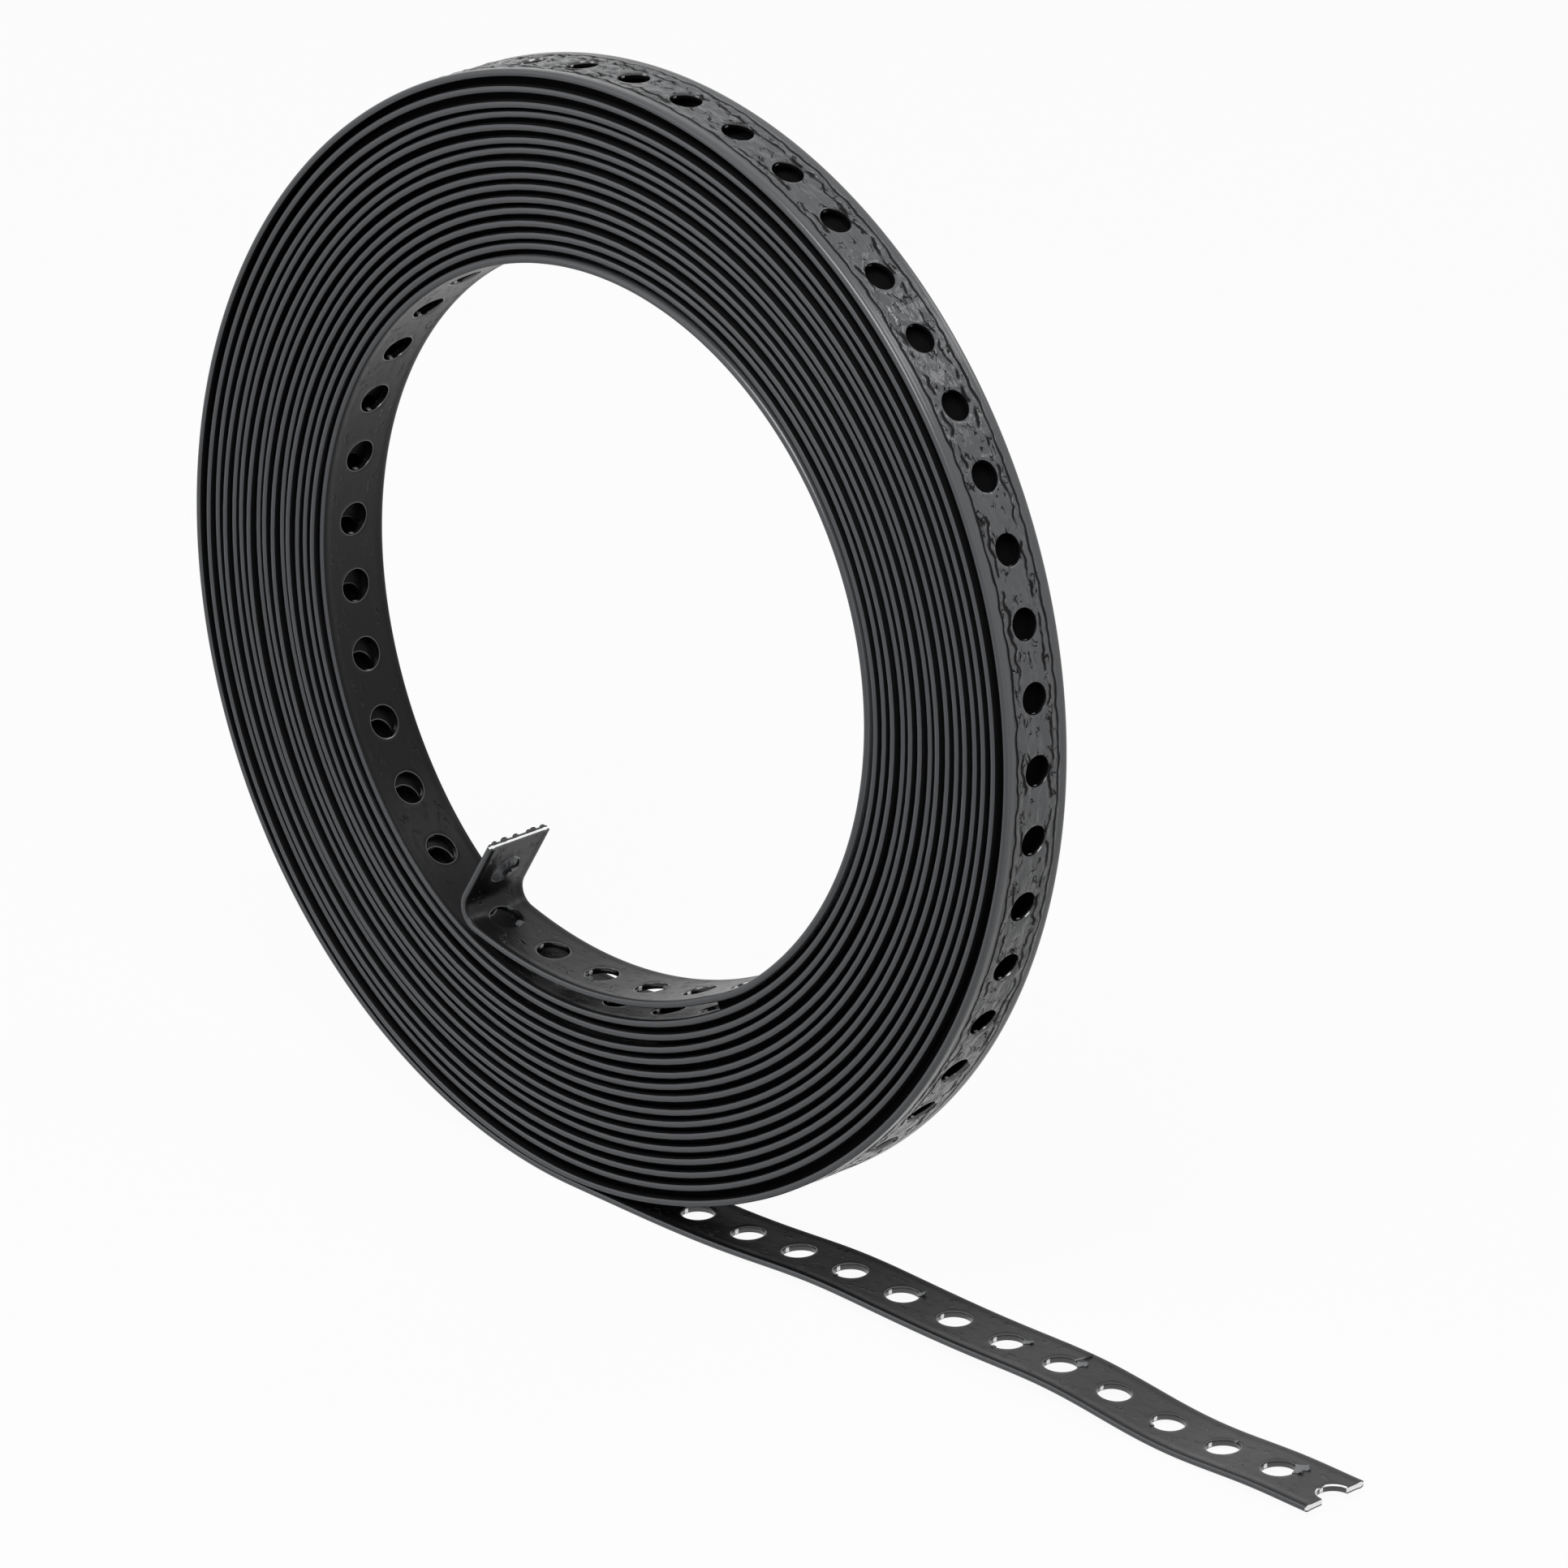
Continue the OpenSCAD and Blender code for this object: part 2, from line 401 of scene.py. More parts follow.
def thicken(piece, length, hole=HOLE_R, rim=RIM_ROUND):
    """Makes a sheet into a length of strap, open at its ends, with beads and rounded hole rims."""
    for side in (-1, 1):
        at_side = side * FLAT / 2 * MM
        choose(piece, "EDGE", lambda edge: all(abs(v.co.y - at_side) < NEAR for v in edge.verts))
        for step in (BEAD_STEP, (WIDTH - FLAT) / 2 - BEAD_STEP):
            bpy.ops.mesh.extrude_region_move(
                TRANSFORM_OT_translate={"value": (0.0, side * step * MM, 0.0)}
            )
    bpy.ops.mesh.select_all(action="SELECT")
    bpy.ops.mesh.normals_make_consistent(inside=False)
    bpy.ops.object.mode_set(mode="OBJECT")
    apply_modifier(piece, "SOLIDIFY", thickness=THICK * MM, offset=0.0)
    bpy.ops.object.mode_set(mode="EDIT")
    choose(piece, "FACE", at_joint(length))
    bpy.ops.mesh.delete(type="FACE")
    choose(piece, "VERT", lambda v: abs(v.co.y) > (FLAT / 2 + BEAD_STEP / 2) * MM)
    bpy.ops.transform.resize(value=(1.0, 1.0, BEAD_SWELL), center_override=(0.0, 0.0, 0.0))
    choose(piece, "EDGE", on_rim(hole))
    bpy.ops.mesh.bevel(offset=rim * MM, segments=2)
    choose(piece, "EDGE", on_edge)
    bpy.ops.mesh.bevel(offset=BEAD_ROUND * MM, segments=4)
    bpy.ops.object.mode_set(mode="OBJECT")


def holed_pitch(name, cuts, rings, hole=HOLE_R, rim=RIM_ROUND):
    """One pitch of strap round its hole."""
    piece = sheet(name, PITCH)
    bpy.ops.mesh.delete(type="ONLY_FACE")
    bpy.ops.mesh.select_all(action="SELECT")
    bpy.ops.mesh.subdivide(number_cuts=cuts)
    bpy.ops.mesh.primitive_circle_add(vertices=4 * (cuts + 1), radius=hole * MM)
    bpy.ops.mesh.select_all(action="SELECT")
    bpy.ops.mesh.bridge_edge_loops(number_cuts=rings, interpolation="LINEAR")
    thicken(piece, PITCH, hole, rim)
    return piece


def refine_outer_face(piece):
    """Gives the outer face a finer mesh, for its flow marks."""
    only(piece)
    bpy.ops.object.mode_set(mode="EDIT")
    choose(piece, "FACE", on_outer_flat)
    bpy.ops.mesh.subdivide(number_cuts=1)
    bpy.ops.object.mode_set(mode="OBJECT")


def add_lumps(piece, length, side, height, place=0.0):
    """Adds lumps of coat, hidden between two turns, that keep light from passing between them.

    Without a place they are part of a length that is repeated, so they are open where two lengths meet.
    """
    only(piece)
    bpy.ops.object.mode_set(mode="EDIT")
    for edge in (-1, 1):
        middle = (place * MM, edge * LUMP_AT * MM, side * (THICK + height - LUMP_SINK) / 2 * MM)
        bpy.ops.mesh.select_all(action="DESELECT")
        bpy.ops.mesh.primitive_cube_add(size=1.0, location=middle)
        bpy.ops.transform.resize(
            value=(length * MM, LUMP_WIDTH * MM, (height + LUMP_SINK) * MM), center_override=middle
        )
        if place:
            bpy.ops.mesh.subdivide(number_cuts=WEDGE_CUTS)
    if not place:
        choose(piece, "FACE", at_joint(length))
        bpy.ops.mesh.delete(type="FACE")
    bpy.ops.object.mode_set(mode="OBJECT")


def repeat(piece, pitch, count, first):
    """Sets the piece in a row, with its first middle at that distance along the strap."""
    piece.data.transform(Matrix.Translation((first * MM, 0.0, 0.0)))
    apply_modifier(
        piece,
        "ARRAY",
        count=count,
        use_relative_offset=False,
        use_constant_offset=True,
        constant_offset_displace=(pitch * MM, 0.0, 0.0),
        use_merge_vertices=True,
        merge_threshold=2 * NEAR,
    )


def cut_across(piece, place, keep_after, coat):
    """Cuts the strap square across and closes the cut, with the coat as a rim round the steel."""
    only(piece)
    bpy.ops.object.mode_set(mode="EDIT")
    bpy.ops.mesh.select_all(action="SELECT")
    bpy.ops.mesh.bisect(
        plane_co=(place * MM, 0.0, 0.0),
        plane_no=(1.0, 0.0, 0.0),
        clear_inner=keep_after,
        clear_outer=not keep_after,
        use_fill=True,
    )
    choose(piece, "FACE", lambda face: all(abs(v.co.x - place * MM) < NEAR for v in face.verts))
    bpy.ops.mesh.inset(thickness=coat * MM)
    bpy.ops.object.mode_set(mode="OBJECT")


def from_hole(x, first=0.0):
    """Distance along the strap from the middle of the nearest hole, where one hole is at first."""
    return (x - first + PITCH / 2) % PITCH - PITCH / 2


def flow_height(x, y):
    """How far the coat stands out at a place on the outer face."""
    along = from_hole(x)
    off_hole = smooth((math.hypot(along, y) - POOLED_HOLE_R - POOLED_RIM_ROUND) / HOLE_EASE)
    off_band = 1 - smooth((abs(y) - BAND_FROM) / BAND_EASE)
    runs = noise.noise(Vector((x / RUN_LENGTH, y / RUN_WIDTH, 0.0)))
    knurs = noise.noise(Vector((x / KNUR_LENGTH, y / KNUR_WIDTH, KNUR_LAYER)))
    knob_place = (round(x / PITCH) * KNOB_ALONG, math.copysign(KNOB_ACROSS, y), KNOB_LAYER)
    knob = hump(math.hypot(PITCH / 2 - abs(along), abs(y) - KNOB_AT), 0.0, KNOB_SIZE)
    knob *= noise.noise(Vector(knob_place)) + KNOB_BIAS
    wrinkled = sum(hump(x, place, length) for place, length in WRINKLED)
    knurs *= PLAIN_SHARE + WRINKLED_SHARE * wrinkled
    height = RUN_HEIGHT * runs + KNUR_HEIGHT * knurs + KNOB_HEIGHT * knob
    return height * off_hole * off_band


def raise_flow_marks(piece):
    """Lifts the lumps and runs that the coat set into on the outer face."""
    start = min(vertex.co.x for vertex in piece.data.vertices) / MM
    for vertex in piece.data.vertices:
        x, y, z = (value / MM for value in vertex.co)
        if abs(z + THICK / 2) < NEAR / MM and abs(y) < FLAT / 2:
            vertex.co.z -= flow_height(x, y) * smooth((x - start) / PITCH) * MM


def add_flake(piece, middle, heading, length, width, curl, over):
    """Adds a torn flake of coat that hangs on the rim of a hole, on the strap's inner face."""
    only(piece)
    bpy.ops.object.mode_set(mode="EDIT")
    bpy.ops.mesh.select_all(action="DESELECT")
    cells_along, cells_across = FLAKE_CELLS
    bpy.ops.mesh.primitive_grid_add(x_subdivisions=cells_along, y_subdivisions=cells_across, size=1.0)
    way = math.radians(heading)
    ahead = Vector((math.cos(way), math.sin(way), 0.0))
    aside = Vector((-math.sin(way), math.cos(way), 0.0))
    mesh = bmesh.from_edit_mesh(piece.data)
    for vertex in mesh.verts:
        if not vertex.select:
            continue
        part, across = vertex.co.x + 0.5, vertex.co.y
        torn = 1.0 + FLAKE_TORN * noise.noise(Vector((across * FLAKE_TEARS, middle, heading)))
        ragged = 1.0 + FLAKE_RAGGED * noise.noise(Vector((part * FLAKE_RAGS, heading, 1.0)))
        crumple = noise.noise(Vector((part * FLAKE_FOLDS, across * FLAKE_FOLDS, heading)))
        reach = length * part * torn
        spread = width * across * (1.0 - FLAKE_TAPER * part) * ragged
        radius = HOLE_R + FLAKE_GRIP_OVER - reach if over else HOLE_R - FLAKE_GRIP_BESIDE + reach
        height = THICK / 2 + FLAKE_OFF + curl * part * part + FLAKE_CRUMPLE * crumple * part
        vertex.co = (Vector((middle, 0.0, height)) + radius * ahead + spread * aside) * MM
    bmesh.update_edit_mesh(piece.data)
    bpy.ops.mesh.solidify(thickness=FLAKE * MM)
    bpy.ops.object.mode_set(mode="OBJECT")


def add_skin(piece, middle):
    """Adds the crumpled skin of coat that closes a hole."""
    only(piece)
    bpy.ops.object.mode_set(mode="EDIT")
    bpy.ops.mesh.select_all(action="DESELECT")
    bpy.ops.mesh.primitive_grid_add(
        x_subdivisions=SKIN_CELLS,
        y_subdivisions=SKIN_CELLS,
        size=SKIN_SIZE * MM,
        location=(middle * MM, 0.0, SKIN_HEIGHT * MM),
    )
    mesh = bmesh.from_edit_mesh(piece.data)
    for vertex in mesh.verts:
        if vertex.select:
            vertex.co.z += SKIN_CRUMPLE * noise.noise(vertex.co / (SKIN_FOLD * MM)) * MM
    bmesh.update_edit_mesh(piece.data)
    bpy.ops.mesh.solidify(thickness=FLAKE * MM)
    bpy.ops.object.mode_set(mode="OBJECT")


def add_beads(piece, place):
    """Adds the beads of coat that stand on the outer side of the lip's cut edge."""
    only(piece)
    bpy.ops.object.mode_set(mode="EDIT")
    for across, size in LIP_BEADS:
        middle = (place * MM, across * MM, -THICK / 2 * MM)
        bpy.ops.mesh.select_all(action="DESELECT")
        bpy.ops.mesh.primitive_ico_sphere_add(subdivisions=2, radius=size * MM, location=middle)
        bpy.ops.transform.resize(value=(1.0, LIP_BEAD_STRETCH, 1.0), center_override=middle)
    bpy.ops.object.mode_set(mode="OBJECT")


def unwrap(piece, first):
    """Lays the strap's UV out flat: pitches along it from a hole, and its width across it."""
    layer = piece.data.uv_layers.new(name="strap")
    for loop in piece.data.loops:
        place = piece.data.vertices[loop.vertex_index].co / MM
        layer.data[loop.index].uv = ((place.x - first) / PITCH, place.y / WIDTH + 0.5)


def steel_face(piece, face):
    """The inset middle of a cut, inside the coat."""
    inside = (THICK / 2 * BEAD_SWELL - TAIL_COAT * STEEL_SHARE) * MM
    return all(abs(piece.data.vertices[v].co.z) < inside for v in face.vertices)


def paint(piece, first, finishes, hole, outer, proud):
    """Sets each face's finish from where it is on the flat strap, or the proud one if it stands off it."""
    for finish in finishes:
        piece.data.materials.append(finish)
    half = THICK / 2
    for face in piece.data.polygons:
        x, y, z = face.center / MM
        from_middle = math.hypot(from_hole(x, first), y)
        if abs(face.normal.x) > SQUARE_ON and steel_face(piece, face):
            face.material_index = STEEL
        elif proud is not None and abs(z) > half + PROUD and abs(y) < FLAT / 2:
            # Undersides of what stands proud take the hidden finish: painted shade
            face.material_index = proud if z > 0 else HIDDEN
        elif from_middle < hole + WALL_REACH and abs(z) < half:
            # The hole that the tail is cut across has bright steel on its rim
            notch = x < HOLE_R and z > half - RIM_ROUND
            skin = from_middle < hole - SKIN_INSET
            face.material_index = STEEL if notch else TORN if skin else HOLE
        elif face.normal.z > FACING and z > half * BY_INNER:
            face.material_index = INNER
        elif face.normal.z < -FACING and z < -half * BY_OUTER:
            face.material_index = outer
        else:
            face.material_index = EDGE


def slide(piece, start, stop, shift):
    """Draws the strap out along its length, from nothing at the start to the whole shift at the stop."""
    for vertex in piece.data.vertices:
        vertex.co.x += shift * smooth((vertex.co.x / MM - start) / (stop - start)) * MM


def strap_path():
    """The whole strap's middle, from the cut end of the tail to the tip of the lip, as a curve."""
    points = tail_points() + turn_points(FIRST_TURN) + inner_points()
    path = bpy.data.curves.new("strap_path", "CURVE")
    path.dimensions = "3D"
    path.twist_mode = "Z_UP"
    line = path.splines.new("POLY")
    line.points.add(len(points) - 1)
    for point, place in zip(line.points, points):
        point.co = (place[0] * MM, place[1] * MM, place[2] * MM, 1.0)
    guide = bpy.data.objects.new("strap_path", path)
    bpy.context.scene.collection.objects.link(guide)
    return guide, path_length(points)


def wind(piece, guide):
    """Lays the flat strap along its path in the coil's plane and stands the coil up."""
    quarter = Matrix.Rotation(math.pi / 2, 4, "X")
    piece.data.transform(quarter)
    apply_modifier(piece, "CURVE", object=guide, deform_axis="POS_X")
    piece.data.transform(quarter)
    only(piece)
    bpy.ops.object.shade_smooth_by_angle(angle=math.radians(SHADE_ANGLE))


# Settings of nodes that many finishes share. MapRange takes a value, both ends of its range,
# and what it turns them into
EASED = {"interpolation_type": "SMOOTHSTEP"}
TIMES, PLUS, MINUS = {"operation": "MULTIPLY"}, {"operation": "ADD"}, {"operation": "SUBTRACT"}
TIMES_PLUS = {"operation": "MULTIPLY_ADD"}
UNSIGNED, LARGER = {"operation": "ABSOLUTE"}, {"operation": "MAXIMUM"}
SHINE = "Specular IOR Level"
PLASTIC_IOR = 1.5
WHITE = (1.0, 1.0, 1.0, 1.0)
# The outer face's coat, greyer than the inner face so that the rim looks lit: painted light; and the
# painted shade of its creases
FLOWED, CREASE_SHADE = "#444547", "#08080A"
# Creases along the outer face: distance from its middle, sway, width, and whether they come and go
CREASES = ((3.8, 4.0, 0.55, True), (5.7, 1.6, 0.42, False))
CREASE_CORE = 0.3
# The bands along its edges are smooth: where loops and lumps fade out, from its middle
FADE_FROM, LOOPS_TO, LUMPS_TO = 5.4, 6.2, 6.4
# Row of dimples on the inner face, from its middle
DIMPLES_AT = 4.9
# Shine of the inner face: between which pitches of its UV it changes, and from what to what.
# The tail is dull by the coil, where it would mirror the dark coil, and shines more towards its cut:
# painted shade
TAIL_PAINTED_SHADE = (2.0, 10.0, 0.4, 0.02)
# The sum of the first pair is more at the bottom of the bore and less at the lip than on the tail,
# and that of the second pair is less down the bore's left side: painted sheen at the bottom of the bore
# and painted shade down its left side
PAINTED_SHINE_SHARES = (
    ((-9.0, -5.0, 1.5, 0.55), (-1.2, -0.4, 0.0, 0.45)),
    ((-36.0, -28.0, 0.15, 0.42), (-16.0, -12.0, 0.0, 0.58)),
)


def linear(text):
    """Linear colour of an sRGB hex value."""
    parts = [int(text[i : i + 2], 16) / 255 for i in (1, 3, 5)]
    return tuple(c / 12.92 if c <= 0.04045 else ((c + 0.055) / 1.055) ** 2.4 for c in parts) + (1.0,)


def connect(tree, node, values):
    """Puts values and links on a node's sockets, by name or in order. A node is its first output."""
    for socket, value in values.items() if isinstance(values, dict) else enumerate(values):
        if isinstance(value, bpy.types.Node):
            value = value.outputs[0]
        if isinstance(value, bpy.types.NodeSocket):
            tree.links.new(value, node.inputs[socket])
        else:
            node.inputs[socket].default_value = value


def add(tree, kind, values=(), **settings):
    """Adds a shader node with its settings, values and links."""
    node = tree.nodes.new("ShaderNode" + kind)
    for name, value in settings.items():
        setattr(node, name, value)
    connect(tree, node, values)
    return node


def new_finish(name, values):
    """A finish with those values on its shader."""
    finish = bpy.data.materials.new(name)
    finish.use_nodes = True
    tree = finish.node_tree
    shader = tree.nodes["Principled BSDF"]
    connect(tree, shader, values)
    return finish, tree, shader


def plastic(name, colour, roughness, shine=0.5):
    """Black soft plastic: the same dark colour all over, and most of what the eye sees is its shine."""
    look = {"Base Color": linear(colour), "Roughness": roughness, "IOR": PLASTIC_IOR, SHINE: shine}
    return new_finish(name, look)


def strap_places(tree):
    """Places on the strap: on its flat and from its middle line in millimetres, and pitches along it."""
    chart = add(tree, "UVMap", uv_map="strap")
    flat = add(tree, "VectorMath", (chart, (PITCH, WIDTH, 0.0)), **TIMES)
    parts = add(tree, "SeparateXYZ", (chart,))
    across = add(tree, "Math", (parts.outputs["Y"], 0.5), **MINUS)
    aside = add(tree, "Math", (add(tree, "Math", (across,), **UNSIGNED), WIDTH), **TIMES)
    return flat, aside, parts.outputs["X"]


def drawn_noise(tree, flat, length, width, detail, distortion=0.0):
    """Noise on the strap, of a length along it and a width across it in millimetres."""
    scaled = add(tree, "Mapping", {"Vector": flat, "Scale": (1 / length, 1 / width, 1.0)})
    look = {"Vector": scaled, "Scale": 1.0, "Detail": detail, "Distortion": distortion}
    return add(tree, "TexNoise", look)


def grain(tree, size, detail):
    """Noise that is the same all over a piece, of a size in millimetres."""
    place = add(tree, "TexCoord")
    look = {"Vector": place.outputs["Object"], "Scale": 1 / (size * MM), "Detail": detail}
    return add(tree, "TexNoise", look)


def crease_lines(tree, flat, aside):
    """Where the coat's hairline creases run, which the outer coat paints dark as shade: beside the holes,
    by the edge bands, and in loops.
    """
    wander = drawn_noise(tree, flat, length=4.5, width=8.0, detail=1.5)
    wander = add(tree, "Math", (wander, 0.5), **MINUS)
    lines = []
    for middle, sway, width, gaps in CREASES:
        line_at = add(tree, "Math", (wander, sway, middle), **TIMES_PLUS)
        off = add(tree, "Math", (add(tree, "Math", (aside, line_at), **MINUS),), **UNSIGNED)
        line = add(tree, "MapRange", (off, width * CREASE_CORE, width, 1.0, 0.0), **EASED)
        if gaps:
            kept = drawn_noise(tree, flat, length=5.0, width=5.0, detail=1.0)
            kept = add(tree, "MapRange", (kept, 0.4, 0.5, 0.0, 1.0), **EASED)
            line = add(tree, "Math", (line, kept), **TIMES)
        lines.append(line)
    swirl = drawn_noise(tree, flat, length=3.4, width=1.7, detail=1.5, distortion=0.8)
    off = add(tree, "Math", (add(tree, "Math", (swirl, 0.5), **MINUS),), **UNSIGNED)
    loop = add(tree, "MapRange", (off, 0.008, 0.034, 1.0, 0.0), **EASED)
    kept = drawn_noise(tree, flat, length=4.0, width=3.0, detail=1.0)
    kept = add(tree, "MapRange", (kept, 0.5, 0.58, 0.0, 1.0), **EASED)
    between_bands = add(tree, "MapRange", (aside, FADE_FROM, LOOPS_TO, 1.0, 0.0), **EASED)
    loop = add(tree, "Math", (loop, kept), **TIMES)
    loop = add(tree, "Math", (loop, between_bands), **TIMES)
    return add(tree, "Math", (add(tree, "Math", lines, **LARGER), loop), **LARGER)


def flowed_coat():
    """Black plastic coat as it set on the strap's outer face.

    The eye sees wet-looking flow marks: smooth bands along the edges, and between them lumps,
    hairline creases and small loops drawn out along the strap. The creases and loops are shallow bumps with
    painted shade, darker and less shiny, and the coat's grey stands in for the light on the rim: painted
    light.
    """
    finish, tree, shader = plastic("black_plastic_coat_flowed", FLOWED, roughness=0.2)
    flat, aside = strap_places(tree)[:2]
    lines = crease_lines(tree, flat, aside)
    lumps = drawn_noise(tree, flat, length=2.6, width=1.5, detail=3.0)
    between_bands = add(tree, "MapRange", (aside, FADE_FROM, LUMPS_TO, 0.8, 0.0), **EASED)
    lumps = add(tree, "Math", (lumps, between_bands), **TIMES)
    height = add(tree, "Math", (lines, -0.7, lumps), **TIMES_PLUS)
    bump = add(tree, "Bump", {"Height": height, "Strength": 1.0, "Distance": 0.5 * MM})
    # Painted shade: the creases and loops get a near-black colour, and below less shine
    colour = add(tree, "Mix", {0: lines, 6: linear(FLOWED), 7: linear(CREASE_SHADE)}, data_type="RGBA")
    rough = add(tree, "MapRange", (lines, 0.1, 0.9, 0.2, 0.5), **EASED)
    shine = add(tree, "MapRange", (lines, 0.1, 0.9, 0.5, 0.1), **EASED)
    look = {"Base Color": colour.outputs[2], "Roughness": rough, SHINE: shine, "Normal": bump}
    connect(tree, shader, look)
    return finish


def smooth_coat():
    """Black plastic coat on the strap's inner face: satin, with faint waves, dimples and dull smudges.

    Its shine carries painted shade and sheen: the tail is deep black by the coil, where it would mirror
    the dark coil, and turns greyer towards its cut end, and the bore shines more at its bottom and is
    darkest down its left side.
    """
    finish, tree, shader = plastic("black_plastic_coat_smooth", "#0F0F10", roughness=0.38)
    flat, aside, along = strap_places(tree)
    spots = drawn_noise(tree, flat, length=1.9, width=1.1, detail=2.0)
    spots = add(tree, "MapRange", (spots, 0.56, 0.68, 0.0, 1.0), **EASED)
    off_row = add(tree, "Math", (add(tree, "Math", (aside, DIMPLES_AT), **MINUS),), **UNSIGNED)
    by_edge = add(tree, "MapRange", (off_row, 0.8, 2.2, 1.0, 0.0), **EASED)
    pitch_part = add(tree, "Math", (along,), operation="FRACT")
    off_mid = add(tree, "Math", (add(tree, "Math", (pitch_part, 0.5), **MINUS),), **UNSIGNED)
    off_mid = add(tree, "Math", (off_mid, PITCH), **TIMES)
    between_holes = add(tree, "MapRange", (off_mid, 1.5, 4.0, 1.0, 0.0), **EASED)
    dimples = add(tree, "Math", (add(tree, "Math", (spots, by_edge), **TIMES), between_holes), **TIMES)
    waves = drawn_noise(tree, flat, length=6.0, width=4.0, detail=3.0)
    waves = add(tree, "Math", (waves, 0.4), **TIMES)
    height = add(tree, "Math", (dimples, -0.8, waves), **TIMES_PLUS)
    bump = add(tree, "Bump", {"Height": height, "Strength": 0.9, "Distance": 0.35 * MM})
    smudge = drawn_noise(tree, flat, length=3.0, width=1.6, detail=4.0)
    smudge = add(tree, "MapRange", (smudge, 0.5, 0.75, 0.34, 0.48), **EASED)
    # Painted shade and sheen: less shine on the tail by the coil and down the bore's left side, more at the
    # bore's bottom
    shine = add(tree, "MapRange", (along, *TAIL_PAINTED_SHADE), **EASED)
    for pair in PAINTED_SHINE_SHARES:
        painted_shares = [add(tree, "MapRange", (along, *change), **EASED) for change in pair]
        shine = add(tree, "Math", (shine, add(tree, "Math", painted_shares, **PLUS)), **TIMES)
    connect(tree, shader, {"Roughness": smudge, SHINE: shine, "Normal": bump})
    return finish


def edge_coat():
    """Black plastic coat round the strap's edges: matt, with a fine grain, and a little greyer than the
    faces so that the beads look lit: painted light.
    """
    finish, tree, shader = plastic("black_plastic_coat_edge", "#37393C", roughness=0.42, shine=0.4)
    fine = grain(tree, size=1.2, detail=2.0)
    bump = add(tree, "Bump", {"Height": fine, "Strength": 0.3, "Distance": 0.08 * MM})
    connect(tree, shader, {"Normal": bump})
    return finish


def hole_coat():
    """Black plastic coat drawn down into the holes: smooth and wet, so it shows bright crescents."""
    finish, tree, shader = plastic("black_plastic_coat_hole", "#08080A", roughness=0.2, shine=1.0)
    ripple = grain(tree, size=2.0, detail=1.0)
    bump = add(tree, "Bump", {"Height": ripple, "Strength": 0.3, "Distance": 0.1 * MM})
    connect(tree, shader, {"Normal": bump})
    return finish


def hidden_coat():
    """Black plastic coat deep between the turns: dull and with almost no shine, so that it shows only dark
    there: painted shade.
    """
    return plastic("black_plastic_coat_hidden", "#0C0C0D", roughness=0.9, shine=0.05)[0]


def torn_coat():
    """Black plastic coat torn into flakes and thin skin: stretched, so it is paler and dull."""
    return plastic("black_plastic_coat_torn", "#5C5E60", roughness=0.5)[0]


def cut_steel():
    """Zinc-plated steel sheared across: bright and grainy."""
    look = {"Base Color": linear("#E4E4E3"), "Metallic": 1.0, "Roughness": 0.5}
    finish, tree, shader = new_finish("sheared_steel", look)
    torn = grain(tree, size=0.5, detail=2.0)
    bump = add(tree, "Bump", {"Height": torn, "Strength": 0.4, "Distance": 0.05 * MM})
    connect(tree, shader, {"Normal": bump})
    return finish


def build_tail():
    """The outer end, cut across a hole, with its torn flakes."""
    tail = holed_pitch("strap_tail", *FINE_MESH)
    repeat(tail, PITCH, TAIL_PITCHES, 0.0)
    cut_across(tail, 0.0, True, TAIL_COAT)
    for hole, *flake in TAIL_FLAKES:
        add_flake(tail, hole * PITCH, *flake)
    return tail


def build_outer_turn(start, stop):
    """The outermost turn, between two pitches of the strap, with the flow marks that show on the rim."""
    outer = holed_pitch("coil_outer_turn", *FINE_MESH, POOLED_HOLE_R, POOLED_RIM_ROUND)
    refine_outer_face(outer)
    repeat(outer, PITCH, stop - start, start * PITCH)
    raise_flow_marks(outer)
    return outer


def build_second_turn(start, stop):
    """The turn under the outermost one, which shows in its holes, between two pitches of the strap."""
    second = holed_pitch("coil_second_turn", *COARSE_MESH)
    add_lumps(second, PITCH, -1, LOOSE_LUMP)
    repeat(second, PITCH, stop - start, start * PITCH)
    return second


def build_inner_turn(whole, lip_hole, start):
    """The innermost turn, from so many pitches before the lip, and the inner end up to its lip."""
    inner = holed_pitch("coil_inner_turn", *FINE_MESH)
    repeat(inner, PITCH, start + 1, lip_hole - (start - 1) * PITCH)
    cut_across(inner, whole, False, LIP_COAT)
    add_lumps(inner, WEDGE_LENGTH, -1, WEDGE_HEIGHT, whole - WEDGE_AT)
    add_skin(inner, lip_hole)
    add_beads(inner, whole)
    for hole, *flake in LIP_FLAKES:
        add_flake(inner, lip_hole - hole * PITCH, *flake)
    return inner


def build_turn_under(lip_hole, start, stop):
    """The turn under the innermost one, which shows in its holes, between two pitches before the lip."""
    under = holed_pitch("coil_turn_under_inner", *COARSE_MESH)
    add_lumps(under, PITCH, 1, UNDER_LUMP)
    add_lumps(under, PITCH, -1, SNUG_LUMP)
    repeat(under, PITCH, start - stop, lip_hole - (start - 1) * PITCH)
    return under


def build_middle_turns(start, stop):
    """The turns between, which show only their edges, from one place along the strap to another."""
    count = round((stop - start) / PLAIN_LENGTH)
    length = (stop - start) / count
    middle = sheet("coil_middle_turns", length)
    thicken(middle, length)
    add_lumps(middle, length, -1, SNUG_LUMP)
    repeat(middle, length, count, start + length / 2)
    return middle


